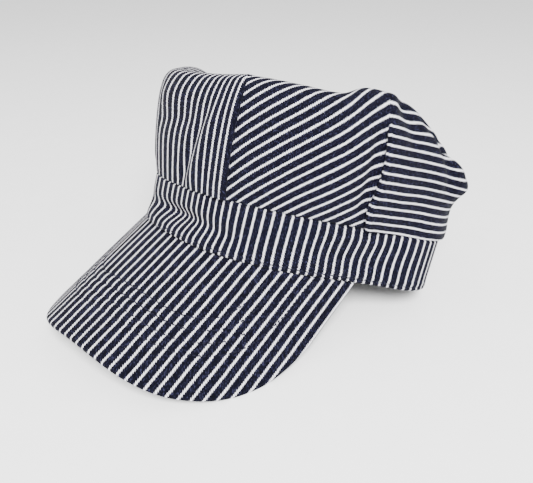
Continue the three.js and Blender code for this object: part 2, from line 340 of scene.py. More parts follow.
def spline(x, xs, ys, period=None):
    """Cubic Hermite spline through the points xs, ys; closed when period is given."""
    xs, ys = np.asarray(xs, float), np.asarray(ys, float)
    x = np.asarray(x, float)
    if period:
        x = np.mod(x, period)
        xs = np.concatenate([xs[-2:] - period, xs, xs[:2] + period])
        ys = np.concatenate([ys[-2:], ys, ys[:2]])
    slope = np.gradient(ys, xs, edge_order=1)
    slope[1:-1] = (ys[2:] - ys[:-2]) / (xs[2:] - xs[:-2])
    i = np.clip(np.searchsorted(xs, x, side="right") - 1, 0, len(xs) - 2)
    span = xs[i + 1] - xs[i]
    t = (x - xs[i]) / span
    return (
        (2 * t**3 - 3 * t**2 + 1) * ys[i]
        + (t**3 - 2 * t**2 + t) * span * slope[i]
        + (3 * t**2 - 2 * t**3) * ys[i + 1]
        + (t**3 - t**2) * span * slope[i + 1]
    )


def away_from(place, at):
    """Shortest signed way round the cap from one place to another."""
    return np.mod(at - place + 1, 2) - 1


class Plan:
    """The band's plan, looked up by place round the cap: 0 at the front, 1 at the back."""

    def __init__(self):
        left = [
            (a * BAND_HALF_WIDTH, b * (BAND_FRONT_REACH if b < 0 else BAND_REAR_REACH))
            for a, b in BAND_PLAN
        ]
        right = [(-x, y) for x, y in reversed(left[1:])]
        self.p = closed_curve(left + [(0.0, BAND_REAR_REACH)] + right, PLAN_STEPS)
        loop = np.vstack([self.p, self.p[:1]])
        steps = np.linalg.norm(np.diff(loop, axis=0), axis=1)
        self.s = np.concatenate([[0], np.cumsum(steps)])
        self.half = self.s[-1] / 2
        tangent = np.roll(self.p, -1, 0) - np.roll(self.p, 1, 0)
        self.t = tangent / np.linalg.norm(tangent, axis=1)[:, None]

    def look(self, table, at):
        d = np.mod(np.asarray(at, float) / 2, 1) * self.s[-1]
        return [np.interp(d, self.s, np.append(table[:, k], table[0, k])) for k in (0, 1)]

    def point(self, at, offset=0.0):
        """x and y at a place, moved outwards by offset."""
        for place, wide, out in PLAN_SWELLS:
            offset = offset + out * np.exp(-(away_from(place, at) / wide) ** 2)
        x, y = self.look(self.p, at)
        tx, ty = self.look(self.t, at)
        size = np.hypot(tx, ty)
        return x + ty / size * offset, y - tx / size * offset

    def tangent(self, at):
        tx, ty = self.look(self.t, at)
        size = np.hypot(tx, ty)
        return tx / size, ty / size


plan = Plan()


def drawn(at):
    """Way round the cap to a place in mm, as the stripes count it."""
    step = np.linspace(-1, 1, DRAWN_STEPS)
    share = np.interp(step, *np.array(STRIPE_DRAW).T)
    way = np.concatenate([[0], np.cumsum((share[1:] + share[:-1]) / 2 * np.diff(step))]) * plan.half
    return np.interp(at, step, way - np.interp(0, step, way))


def dip(at, table):
    place, wide, down = table
    return down * np.exp(-(away_from(place, at) / wide) ** 2)


def to_row(points):
    """Points of the cap's own frame, in mm, to the frame it rests in, in metres."""
    p = np.asarray(points, float)
    y = p[..., 1] * math.cos(LEAN) + p[..., 2] * math.sin(LEAN)
    z = p[..., 2] * math.cos(LEAN) - p[..., 1] * math.sin(LEAN)
    row = np.stack([p[..., 0], y, z], -1) + ORIGIN
    row[..., 2] = np.maximum(row[..., 2], 0)
    return row * MM


def normals(grid):
    """Outward normals of a grid of points whose rows go up and whose columns close round the cap."""
    across = np.roll(grid, -1, 1) - np.roll(grid, 1, 1)
    n = np.cross(across, np.gradient(grid, axis=0))
    return n / np.maximum(np.linalg.norm(n, axis=-1, keepdims=True), 1e-9)


def nearest_on(points, line):
    """Distance of each point from a line of points, and how far along the line its nearest place is."""
    flat = points.reshape(-1, points.shape[-1])
    best = np.full(len(flat), np.inf)
    along = np.zeros(len(flat))
    for i, (a, b) in enumerate(zip(line[:-1], line[1:])):
        step = b - a
        t = np.clip(((flat - a) @ step) / max(step @ step, 1e-12), 0, 1)
        away = np.linalg.norm(flat - a - t[:, None] * step, axis=1)
        nearer = away < best
        best = np.where(nearer, away, best)
        along = np.where(nearer, (i + t) / (len(line) - 1), along)
    return best.reshape(points.shape[:-1]), along.reshape(points.shape[:-1])


class Cloth:
    """Collects grids of points with their places on the flat cloth, and makes one mesh of them."""

    def __init__(self, name):
        self.name = name
        self.points = []
        self.faces = []
        self.flat = []
        self.count = 0

    def grid(self, points, flat, closed=False, flat_right=None, flip=False):
        """A grid of quads. flat_right holds the flat places that a column has seen from its right."""
        rows, columns = points.shape[:2]
        ids = np.arange(rows * columns).reshape(rows, columns) + self.count
        self.points.append(points.reshape(-1, 3))
        self.count += rows * columns
        right = flat if flat_right is None else flat_right
        if closed:
            nxt = np.roll(ids, -1, 1)
            nxt_flat = np.roll(flat, -1, 1)
        else:
            ids, nxt = ids[:, :-1], ids[:, 1:]
            right, nxt_flat = right[:, :-1], flat[:, 1:]
        quad = np.stack([ids[:-1], nxt[:-1], nxt[1:], ids[1:]], -1).reshape(-1, 4)
        uv = np.stack([right[:-1], nxt_flat[:-1], nxt_flat[1:], right[1:]], -2).reshape(-1, 4, 2)
        if flip:
            quad, uv = quad[:, ::-1], uv[:, ::-1]
        self.faces.append(quad)
        self.flat.append(uv)

    def make(self, material):
        points = np.vstack(self.points)
        _, first, inverse = np.unique(
            np.round(points, 3), axis=0, return_index=True, return_inverse=True
        )
        inverse = inverse.reshape(-1)
        quads = inverse[np.vstack(self.faces)]
        uv = np.vstack(self.flat)
        faces, corners = [], []
        same = quads == np.roll(quads, -1, 1)
        for quad, coords, twin in zip(quads.tolist(), uv.tolist(), same.tolist()):
            if any(twin):
                keep = [k for k in range(4) if not twin[k]]
                quad, coords = [quad[k] for k in keep], [coords[k] for k in keep]
                if len(set(quad)) < 3:
                    continue
            faces.append(quad)
            corners.extend(coords)
        mesh = bpy.data.meshes.new(self.name)
        mesh.from_pydata(to_row(points[first]).tolist(), [], faces)
        layer = mesh.uv_layers.new(name="cloth")
        layer.data.foreach_set("uv", (np.array(corners) * MM).ravel().astype(np.float32))
        mesh.shade_smooth()
        mesh.materials.append(material)
        obj = bpy.data.objects.new(self.name, mesh)
        bpy.context.scene.collection.objects.link(obj)
        return obj


# Materials
class Nodes:
    """Builds a material from small sums of nodes."""

    def __init__(self, name):
        self.material = bpy.data.materials.new(name)
        self.material.use_nodes = True
        self.tree = self.material.node_tree
        self.shader = self.tree.nodes["Principled BSDF"]

    def node(self, kind, **inputs):
        made = self.tree.nodes.new(kind)
        for key, value in inputs.items():
            self.feed(made.inputs[key.replace("_", " ")], value)
        return made

    def feed(self, socket, value):
        if isinstance(value, bpy.types.NodeSocket):
            self.tree.links.new(value, socket)
        else:
            socket.default_value = value

    def math(self, operation, *values):
        made = self.tree.nodes.new("ShaderNodeMath")
        made.operation = operation
        for socket, value in zip(made.inputs, values):
            self.feed(socket, value)
        return made.outputs[0]

    def step(self, value, low, high):
        made = self.tree.nodes.new("ShaderNodeMapRange")
        made.interpolation_type = "SMOOTHSTEP"
        self.feed(made.inputs["Value"], value)
        self.feed(made.inputs["From Min"], low)
        self.feed(made.inputs["From Max"], high)
        return made.outputs["Result"]

    def point(self, x, y, z):
        made = self.tree.nodes.new("ShaderNodeCombineXYZ")
        for socket, value in zip(made.inputs, (x, y, z)):
            self.feed(socket, value)
        return made.outputs[0]

    def noise(self, vector, scale, detail, roughness=0.5):
        made = self.node(
            "ShaderNodeTexNoise", Vector=vector, Scale=scale, Detail=detail, Roughness=roughness
        )
        return made.outputs["Fac"]

    def mix(self, factor, a, b):
        made = self.tree.nodes.new("ShaderNodeMix")
        made.data_type = "RGBA"
        self.feed(made.inputs["Factor"], factor)
        self.feed(made.inputs[6], a)
        self.feed(made.inputs[7], b)
        return made.outputs[2]


NAVY = (0.0018, 0.0018, 0.0056, 1)
NAVY_WORN = (0.036, 0.036, 0.078, 1)
NAVY_DEEP = (0.0008, 0.0008, 0.0018, 1)
WHITE = (0.80, 0.785, 0.83, 1)
WHITE_SHADE = (0.56, 0.55, 0.60, 1)
THREAD_DARK = (0.003, 0.003, 0.007, 1)
THREAD_LIGHT = (0.010, 0.010, 0.022, 1)

# Twill on the flat cloth: yarns, ribs and noise are counted for each mm, and the yarns' jog, the
# fray and the drift of the stripes are in mm; the white ends between two shares of the pitch
YARNS = 0.72
YARN_SLANT = 0.8
YARN_JOG = 0.90
FRAY_SCALE = 1.1
FRAY_REACH = 0.95
DRIFT_SCALE = 0.035
DRIFT_REACH = 1.1
WHITE_INSIDE = 0.066
WHITE_OUTSIDE = 0.103
RIBS = 7.2
RIB_SLANT = 1.15
FLECK_SCALE = 0.95
SHADE_SCALE = 1.7

# Levels of the flecks' noise between which the navy turns worn and deep, and the white shaded
WORN_LEVELS = (0.52, 0.74)
DEEP_LEVELS = (0.50, 0.28)
SHADE_LEVELS = (0.50, 0.75)


def striped_twill(name, seed):
    m = Nodes(name)

    def sum_of(a, b):
        return m.math("ADD", a, b)

    def times(a, b):
        return m.math("MULTIPLY", a, b)

    def about_zero(value):
        return m.math("SUBTRACT", value, 0.5)

    uv = m.tree.nodes.new("ShaderNodeUVMap")
    uv.uv_map = "cloth"
    split = m.node("ShaderNodeSeparateXYZ", Vector=uv.outputs["UV"])
    x = times(split.outputs["X"], 1 / MM)
    y = times(split.outputs["Y"], 1 / MM)
    # The yarns step sideways from one to the next, which makes the stripes' edges jagged
    yarn = m.math("FRACT", times(sum_of(y, times(x, YARN_SLANT)), YARNS))
    jog = times(about_zero(yarn), YARN_JOG)
    fray = times(about_zero(m.noise(m.point(x, y, seed), FRAY_SCALE, 2.0, 0.6)), FRAY_REACH)
    drift = times(about_zero(m.noise(m.point(x, y, seed + 9.0), DRIFT_SCALE, 1.0)), DRIFT_REACH)
    across = sum_of(sum_of(x, jog), sum_of(fray, drift))
    phase = m.math("FRACT", m.math("DIVIDE", across, STRIPE_PITCH))
    off = m.math("ABSOLUTE", about_zero(phase))
    white = m.math("SUBTRACT", 1.0, m.step(off, WHITE_INSIDE, WHITE_OUTSIDE))
    # Twill: fine diagonal ribs, with lighter flecks where the navy has worn
    rib = m.math("SINE", times(sum_of(times(x, RIB_SLANT), y), RIBS))
    slant = m.point(
        sum_of(times(x, 1.5), times(y, 1.2)),
        m.math("SUBTRACT", times(y, 0.55), times(x, 0.5)),
        seed,
    )
    fleck = m.noise(slant, FLECK_SCALE, 2.0, 0.65)
    worn = times(m.step(fleck, *WORN_LEVELS), sum_of(times(rib, 0.3), 0.7))
    deep = m.step(fleck, *DEEP_LEVELS)
    navy = m.mix(worn, m.mix(deep, NAVY, NAVY_DEEP), NAVY_WORN)
    cream = m.mix(m.step(m.noise(slant, SHADE_SCALE, 2.0), *SHADE_LEVELS), WHITE, WHITE_SHADE)
    m.feed(m.shader.inputs["Base Color"], m.mix(white, navy, cream))
    m.feed(m.shader.inputs["Roughness"], sum_of(0.86, times(fleck, 0.14)))
    m.shader.inputs["Specular IOR Level"].default_value = 0.06
    m.shader.inputs["Sheen Weight"].default_value = 0.02
    m.shader.inputs["Sheen Roughness"].default_value = 0.5
    height = sum_of(times(rib, 0.5), sum_of(times(fleck, 1.6), times(white, 0.5)))
    bump = m.node("ShaderNodeBump", Height=height, Strength=0.55, Distance=0.00012)
    m.feed(m.shader.inputs["Normal"], bump.outputs["Normal"])
    return m.material


def thread(name):
    m = Nodes(name)
    place = m.node("ShaderNodeTexCoord").outputs["Object"]
    grain = m.noise(place, 1400.0, 2.0)
    m.feed(m.shader.inputs["Base Color"], m.mix(grain, THREAD_DARK, THREAD_LIGHT))
    m.feed(m.shader.inputs["Roughness"], m.math("ADD", 0.6, m.math("MULTIPLY", grain, 0.2)))
    m.shader.inputs["Specular IOR Level"].default_value = 0.12
    bump = m.node("ShaderNodeBump", Height=grain, Strength=0.4, Distance=0.00005)
    m.feed(m.shader.inputs["Normal"], bump.outputs["Normal"])
    return m.material


crown_cloth = striped_twill("crown striped twill", 3.0)
band_cloth = striped_twill("band striped twill", 17.0)
bill_cloth = striped_twill("bill striped twill", 31.0)
navy_thread = thread("navy sewing thread")


# Crown
def station(column, at):
    table = np.array(CROWN_STATIONS)
    return spline(at, table[:, 0], table[:, column], period=2.0)


def row_values(t):
    table = np.array(CROWN_ROWS)
    index = np.arange(len(table))
    keys = ("rise", "bulge", "lean", "inward", "pleat")
    return {key: spline(t, index, table[:, k])[:, None] for k, key in enumerate(keys)}


def crown_base(at, row):
    """The crown's smooth form, before its pleats: a grid of points for places and rows."""
    rise = station(1, at) * CROWN_RISE
    offset = station(2, at) * CROWN_BULGE * row["bulge"] + station(3, at) * CROWN_BULGE * row["lean"]
    x, y = plan.point(at + station(4, at) * row["lean"], offset - CROWN_INSET)
    sag = TOP_SAG * np.sin(np.pi / 2 * np.minimum(row["inward"] / SAG_REACH, 1)) ** 2
    height = (rise + (MIDDLE_SHARE * CROWN_RISE - rise) * row["inward"]) * row["rise"]
    keep = 1 - row["inward"]
    seam = BAND_HEIGHT + SEAM_GAP - dip(at, SEAM_DIP) * keep
    return np.stack([x * keep, y * keep, seam + height - sag], -1)


def fold_left(t, end):
    """How much of a pleat is left at a row, when it has died out at the row end."""
    return smooth((end - t) / FOLD_FADE)


def pleat_lift(at, t):
    """How far the pleats lift the cloth at a place between their folds."""
    lift = np.zeros(np.broadcast(at, t).shape)
    for place, over, height, end, _ in PLEATS:
        away = away_from(place, at) * plan.half * over
        shape = height * np.clip(1 - away / PLEAT_SPREAD, 0, 1) ** PLEAT_FADE * fold_left(t, end)
        lift = np.where((away > 0) & (away < PLEAT_SPREAD), np.maximum(lift, shape), lift)
    return lift


def fold_path(lift):
    """Section of a fold from its upper layer to its lower one, for one height of the upper layer:
    the way along, which grows towards the lower layer, the height, and the cloth's own length
    counted from either end."""
    turn = np.pi * np.arange(7) / 6
    back = np.pi * np.arange(4) / 3
    r = FOLD_RADIUS
    along = np.concatenate([
        [-FOLD_REACH],
        r * np.sin(turn),
        [-FOLD_DEPTH / 3, -FOLD_DEPTH * 2 / 3],
        -FOLD_DEPTH - FOLD_BACK * np.sin(back),
        [-FOLD_DEPTH / 2, 0.0, FOLD_REACH],
    ])
    drop = np.concatenate([[0.0], r * (1 - np.cos(turn)), np.full(6, 2 * r), np.zeros(3)])
    level = np.concatenate([np.ones(10), 0.5 + 0.5 * np.cos(back), np.zeros(3)])
    k = np.arange(FOLD_STEPS) / (FOLD_STEPS - 1)
    open_share = smooth((lift - FOLD_OPENS) / FOLD_OPENS_OVER)
    fold_up = level * (lift - drop)
    length = np.concatenate([[0], np.cumsum(np.hypot(np.diff(along), np.diff(fold_up)))])
    plain_along = FOLD_REACH * (2 * k - 1)
    plain_up = lift * (1 - smooth(k))

    def mixed(folded, plain):
        return open_share * folded + (1 - open_share) * plain

    return (
        mixed(along, plain_along),
        mixed(fold_up, plain_up),
        mixed(length - FOLD_REACH, plain_along),
        mixed(length - length[-1] + FOLD_REACH, plain_along),
    )


def crown_columns():
    """Places round the cap: plain columns, and the steps of each fold."""
    clear = (FOLD_REACH + COLUMN_CLEAR) / plan.half
    columns = []
    for at in 2 * np.arange(CROWN_COLUMNS) / CROWN_COLUMNS:
        if min(abs(away_from(p[0], at)) for p in PLEATS) > clear:
            columns.append((at, -1, 0))
    for index, (place, over, *_) in enumerate(PLEATS):
        steps = range(FOLD_STEPS) if over < 0 else reversed(range(FOLD_STEPS))
        columns += [(place, index, k) for k in steps]
    return sorted(columns, key=lambda column: column[0])


def form_normals(place, row, t):
    """Normals of the crown's smooth form at each point of the grid."""
    across = crown_base(place + PLACE_STEP, row) - crown_base(place - PLACE_STEP, row)
    above = crown_base(place, row_values(np.minimum(t + ROW_STEP, ROW_END)))
    below = crown_base(place, row_values(np.maximum(t - ROW_STEP, 0)))
    n = np.cross(across, above - below)
    return n / np.maximum(np.linalg.norm(n, axis=-1, keepdims=True), 1e-9)


def panel_of(at):
    """The panel that a place lies in: the one whose pleat comes last before it."""
    starts = [pleat[0] for pleat in PLEATS]
    return min(range(len(starts)), key=lambda i: (at - starts[i]) % 2)


def make_crown():
    side_rows = np.linspace(0, SIDE_ROWS, SIDE_LEVELS, endpoint=False)
    t = np.concatenate([side_rows, np.linspace(SIDE_ROWS, ROW_END, TOP_LEVELS)])
    row = row_values(t)
    columns = crown_columns()
    unfolded = np.array([c[0] for c in columns])[None, :].repeat(len(t), 0)
    place = unfolded.copy()
    up = pleat_lift(place, t[:, None]) * row["pleat"]
    lengths = {}
    for index, (pleat_at, over, height, end, _) in enumerate(PLEATS):
        left = row["pleat"][:, 0] * fold_left(t, end)
        section = np.array([fold_path(height * share) for share in left])
        lengths[index] = -over * section[:, 2:]
        for j, column in enumerate(columns):
            if column[1] == index:
                place[:, j] = pleat_at - over * section[:, 0, column[2]] / plan.half
                up[:, j] = section[:, 1, column[2]]
    bow = pleat_bow(place, t[:, None])
    place = place + bow / plan.half
    base = crown_base(place, row)
    up = up + crown_wrinkles(place, t[:, None]) + crease_relief(base)
    middle = base + form_normals(place, row, t) * up[..., None]
    n = normals(middle)
    outer = middle + n * CROWN_WALL / 2
    inner = middle - n * CROWN_WALL / 2
    flat, flat_right = crown_flat(columns, place, bow, lengths, crown_base(unfolded, row), t)
    cloth = Cloth("crown_cloth")
    cloth.grid(outer, flat, closed=True, flat_right=flat_right)
    cloth.grid(inner, flat, closed=True, flat_right=flat_right, flip=True)
    rim = np.stack([flat[0], flat[0]])
    cloth.grid(np.stack([inner[0], outer[0]]), rim, closed=True)
    for side, flip in ((outer, False), (inner, True)):
        centre = np.broadcast_to(side[-1].mean(0), side[-1].shape)
        cap = np.stack([side[-1], centre])
        cloth.grid(cap, np.stack([flat[-1], flat[-1]]), closed=True, flip=flip)
    return cloth.make(crown_cloth)


def crown_wrinkles(at, t):
    """How far the large soft folds push the crown out, in mm."""
    out = np.zeros(np.broadcast(at, t).shape)
    for place, level, wide, tall, height in CROWN_FOLDS:
        out += height * np.exp(-(away_from(place, at) / wide) ** 2 - ((t - level) / tall) ** 2)
    return out * smooth(t)


def pleat_bow(at, t):
    """How far the cloth is drawn aside round the cap where the foot of a pleat bows, in mm."""
    bow = np.zeros(np.broadcast(at, t).shape)
    for place, _, _, _, foot in PLEATS:
        near = np.exp(-(away_from(place, at) * plan.half / BOW_WIDE) ** 2)
        bow += foot * near * np.exp(-(((t - BOW_ROW) / BOW_TALL) ** 2))
    return bow


def crease_relief(base):
    """How far the creases push the cloth out at each point of the crown's smooth form."""
    relief = np.zeros(base.shape[:2])
    share = np.linspace(0, 1, 15)
    for at0, row0, at1, row1, wide, out in CREASES:
        row = row_values(row0 + (row1 - row0) * share)
        line = crown_base((at0 + (at1 - at0) * share)[:, None], row)
        away, along = nearest_on(base, line[:, 0])
        ends = smooth(along / CREASE_ENDS) * smooth((1 - along) / CREASE_ENDS)
        relief += out * ends * np.exp(-((away / wide) ** 2))
    return relief


def crown_flat(columns, place, bow, lengths, base, t):
    """Places on the flat cloth, for the panel on each side of every column."""
    steps = np.linalg.norm(np.diff(base, axis=0), axis=-1)
    climbed = np.concatenate([np.zeros((1, base.shape[1])), np.cumsum(steps, axis=0)])
    total = climbed[-1]
    turn = np.radians(180 * place + TOP_TURN)
    reach = total - climbed
    round_top = np.stack([reach * np.sin(turn), -reach * np.cos(turn)], -1)
    on_side = smooth((TOP_START - t) / (TOP_START - SIDE_END))[:, None]
    starts = [pleat[0] for pleat in PLEATS]
    plain = [j for j, column in enumerate(columns) if column[1] < 0]
    shifts = {}

    def lie(panel, j):
        """Places on the flat cloth along a column, as a panel's own lie has them."""
        begin = starts[panel]
        width = (starts[(panel + 1) % len(starts)] - begin) % 2
        centre = (begin + width / 2) % 2
        turned, _, close, bend = PANELS[panel]
        angle = math.radians(turned)
        at, index, k = columns[j]
        around = away_from(centre, at) * plan.half
        if panel == FRONT_PANEL:
            around = drawn(away_from(0, at)) - drawn(away_from(0, centre))
        s = around + bow[:, j]
        if index >= 0:
            on_upper = (panel == index) == (PLEATS[index][1] > 0)
            s = s + lengths[index][:, 0 if on_upper else 1, k]
        down = np.interp(centre, place[0, plain], total[plain]) - climbed[:, j]
        return np.stack([
            down * math.sin(angle) + s * math.cos(angle) - bend * s * s * math.sin(angle),
            -down * math.cos(angle) + s * math.sin(angle),
        ], -1) * close

    def apart(panel):
        """How far the stripes of a panel and of the one before it are apart along its pleat."""
        before = (panel - 1) % len(PANELS)
        j = next(j for j, column in enumerate(columns) if column[1:] == (panel, SWITCH_STEP))
        return (lie(before, j) - lie(panel, j))[:, 0] + shifts[before]

    meets = [np.argmin(abs(t - pleat[3] + RUN_ON_BELOW)) for pleat in PLEATS]
    for panel, (_, shift, _, _) in enumerate(PANELS):
        shifts[panel] = shift
        if shift is None:
            shifts[panel] = apart(panel)[meets[panel]]
    # Where a pleat has died out, the stripes run on from one panel to the next
    runs_on = []
    for panel, pleat in enumerate(PLEATS):
        gap = apart(panel) - shifts[panel]
        gap -= STRIPE_PITCH * np.round(gap[meets[panel]] / STRIPE_PITCH)
        runs_on.append(gap * smooth((t - pleat[3]) / RUN_ON_BELOW + 1))

    def panel_flat(panel, j):
        near = np.exp(-(away_from(starts[panel], columns[j][0]) * plan.half / RUN_ON_WIDE) ** 2)
        side = lie(panel, j)
        side[:, 0] += shifts[panel] + runs_on[panel] * near
        return on_side * side + (1 - on_side) * round_top[:, j]

    flat = np.zeros(base.shape[:2] + (2,))
    flat_right = np.zeros_like(flat)
    for j, (at, index, k) in enumerate(columns):
        if index < 0:
            flat[:, j] = flat_right[:, j] = panel_flat(panel_of(at), j)
            continue
        before = (index - 1) % len(PLEATS)
        if PLEATS[index][1] < 0:
            panel = before if k <= SWITCH_STEP else index
            panel_right = before if k < SWITCH_STEP else index
        else:
            panel = index if k < SWITCH_STEP else before
            panel_right = index if k <= SWITCH_STEP else before
        flat[:, j] = panel_flat(panel, j)
        flat_right[:, j] = panel_flat(panel_right, j)
    return flat, flat_right


# Band
def buckle(at, high):
    """How deep the band's buckles are at a place and level."""
    depth = 0.0
    for place, level, wide, tall, deep in BAND_BUCKLES:
        around = away_from(place, at) / wide
        up = (high - level) / tall
        depth = depth + deep * BAND_WALL * np.exp(-around * around - up * up)
    return depth


def edge_rounding(level):
    """How far the band's faces turn in at its folded edges."""
    edge = np.minimum(level, BAND_HEIGHT - level)
    return BAND_EDGE * (1 - np.sqrt(np.clip(1 - (1 - np.clip(edge / BAND_EDGE, 0, 1)) ** 2, 0, 1)))


def held_buckle(at, high):
    """The buckles' depth, which fades to nothing where the seam to the crown holds the band."""
    return buckle(at, high) * np.sin(np.pi / 2 * np.minimum((1 - high) / SEAM_HOLD, 1))


def band_outside(at, level):
    """How far out the band's outer face stands at a place and level, and its height."""
    high = level / BAND_HEIGHT
    press = HEM_PRESS * np.exp(-((level - HEM_STITCH) / HEM_PRESS_TALL) ** 2)
    swell = HEM_SWELL * np.exp(-((level - HEM_STITCH - HEM_SWELL_ABOVE) / HEM_SWELL_TALL) ** 2)
    z = level - dip(at, HEM_DIP) - high * (dip(at, SEAM_DIP) - dip(at, HEM_DIP))
    return -held_buckle(at, high) - edge_rounding(level) - press + swell, z


def make_band():
    at = (np.arange(BAND_COLUMNS) * 2 / BAND_COLUMNS)[None, :]
    high = np.linspace(0, 1, BAND_LEVELS)[:, None]
    level = high * BAND_HEIGHT
    outer_offset, z = band_outside(at, level)
    inner_offset = -held_buckle(at, high) - BAND_WALL + edge_rounding(level)
    x, y = plan.point(at, outer_offset)
    outer = np.stack([x, y, z], -1)
    x, y = plan.point(at, inner_offset)
    inner = np.stack([x, y, z], -1)
    flat = np.stack(np.broadcast_arrays(drawn(away_from(0, at)), level), -1)
    cloth = Cloth("band_cloth")
    cloth.grid(outer, flat, closed=True)
    cloth.grid(inner, flat, closed=True, flip=True)
    cloth.grid(np.stack([inner[0], outer[0]]), np.stack([flat[0], flat[0]]), closed=True)
    cloth.grid(np.stack([outer[-1], inner[-1]]), np.stack([flat[-1], flat[-1]]), closed=True)
    return cloth.make(band_cloth)


# Bill
def bill_reach(share):
    """The bill's length from its seam to its rim, at a share of the half seam from the middle."""
    flare = np.sin(np.pi / 2 * np.minimum(np.abs(share) / BILL_SHOULDER, 1)) ** 2
    corner = (1 - np.abs(share) ** CORNER_POWER) ** CORNER_ROOT
    return BILL_LENGTH * (1 + BILL_FLARE * flare) * corner


FORWARD = np.array([0.0, -math.cos(BILL_SLOPE), -math.sin(BILL_SLOPE)])


class BillForm:
    """The bill's surface: straight lines from the band's edge, and its places when laid flat."""

    def __init__(self):
        self.share = np.linspace(-1, 1, SEAM_STEPS) * BILL_SIDE_SHARE
        at = self.share * BILL_SEAM_HALF / plan.half
        x, y = plan.point(at)
        dx, dy = np.diff(x), np.diff(y)
        across = np.hypot(dx, math.sin(BILL_SLOPE) * dy)
        self.f = np.concatenate([[0], np.cumsum(across)])
        self.f -= np.interp(0, self.share, self.f)
        self.g = y * FORWARD[1]

    def root(self, share, offset=0.0):
        at = share * BILL_SEAM_HALF / plan.half
        x, y = plan.point(at, offset)
        return np.stack([x, y, -SEAM_GAP - dip(at, HEM_DIP)], -1)

    def normal(self, share):
        at = share * BILL_SEAM_HALF / plan.half
        tx, ty = plan.tangent(at)
        n = np.cross(np.stack([tx, ty, np.zeros_like(tx)], -1), FORWARD)
        n /= np.linalg.norm(n, axis=-1, keepdims=True)
        return np.where(n[..., 2:] < 0, -n, n)

    def flat(self, share, reach):
        return np.stack([
            np.interp(share, self.share, self.f),
            -(np.interp(share, self.share, self.g) + reach),
        ], -1)

    def lift(self, flat):
        """Share and distance from the seam of a place on the flat bill."""
        share = np.interp(flat[..., 0], self.f, self.share)
        return share, -flat[..., 1] - np.interp(share, self.share, self.g)

    def point(self, share, reach):
        return self.root(share) + reach[..., None] * FORWARD


bill_form = BillForm()


def bill_rim():
    """The bill's free edge when it is laid flat, from one end of the seam to the other."""
    angle = np.linspace(-np.pi / 2, np.pi / 2, RIM_STEPS)
    share = np.sin(angle) * BILL_SIDE_SHARE
    tip = bill_form.flat(share, bill_reach(share))
    down = np.linspace(0, 1, RIM_END_STEPS, endpoint=False)
    end = np.array([-BILL_SIDE_SHARE, BILL_SIDE_SHARE])
    first = bill_form.flat(np.full_like(down, end[0]), down * bill_reach(end[:1]))
    last = bill_form.flat(np.full_like(down, end[1]), down[::-1] * bill_reach(end[1:]))
    return np.vstack([first, tip, last])


def quilt_relief(d):
    """Relief of the quilting at a distance from the rim: grooves at the rows, soft between."""
    relief = np.zeros_like(d)
    for k in range(QUILT_ROWS):
        off = (d - QUILT_FIRST - k * QUILT_STEP) / QUILT_GROOVE_WIDE
        relief -= QUILT_GROOVE * np.exp(-off * off)
    last = QUILT_FIRST + (QUILT_ROWS - 1) * QUILT_STEP
    inside = smooth((d - QUILT_FIRST) / QUILT_FADE) * smooth((last - d) / QUILT_FADE)
    wave = np.abs(np.sin(np.pi * (d - QUILT_FIRST) / QUILT_STEP))
    return relief + QUILT_PUFF * inside * wave


def make_bill():
    angle = np.linspace(-np.pi / 2, np.pi / 2, BILL_COLUMNS)
    share = (np.sin(angle) * BILL_SIDE_SHARE)[None, :]
    out = 1 - (1 - np.linspace(0, 1, BILL_ROWS)[:, None]) ** BILL_CROWDING
    reach = out * bill_reach(share)
    share = np.broadcast_to(share, reach.shape)
    flat = bill_form.flat(share, reach)
    d, _ = nearest_on(flat, bill_rim())
    n = bill_form.normal(share)
    half = BILL_THICKNESS / 2 * np.sqrt(np.clip(1 - (1 - np.clip(d / BILL_EDGE, 0, 1)) ** 2, 0, 1))
    middle = bill_form.point(share, reach) - n * BILL_THICKNESS / 2
    relief = quilt_relief(d)
    upper = middle + n * (half + relief)[..., None]
    lower = middle - n * (half + relief * QUILT_BELOW)[..., None]
    tuck = bill_form.root(share[:1], -BAND_WALL)
    low_tuck = tuck - bill_form.normal(share[:1]) * BILL_THICKNESS
    upper = np.concatenate([tuck, upper])
    lower = np.concatenate([low_tuck, lower])
    flat = np.concatenate([flat[:1] + np.array([0, BAND_WALL]), flat])
    cloth = Cloth("bill_cloth")
    cloth.grid(upper, flat, flip=True)
    cloth.grid(lower, flat)
    cloth.grid(np.stack([upper[0], lower[0]]), np.stack([flat[0], flat[0]]), flip=True)
    for column, flip in ((0, False), (-1, True)):
        sides = np.stack([upper[:, column], lower[:, column]])
        cloth.grid(sides, np.stack([flat[:, column]] * 2), flip=flip)
    return cloth.make(bill_cloth)


# Stitches
def even_steps(points, normals, step):
    """Places at even steps along a line of points, each with its direction and normal."""
    way = np.concatenate([[0], np.cumsum(np.linalg.norm(np.diff(points, axis=0), axis=1))])
    at = np.arange(step / 2, way[-1] - step / 2, step)

    def look(table, places):
        return np.stack([np.interp(places, way, table[:, k]) for k in range(3)], -1)

    along = look(points, at + STITCH_AIM) - look(points, at - STITCH_AIM)
    along /= np.linalg.norm(along, axis=1)[:, None]
    up = look(normals, at)
    up /= np.linalg.norm(up, axis=1)[:, None]
    return look(points, at), along, up


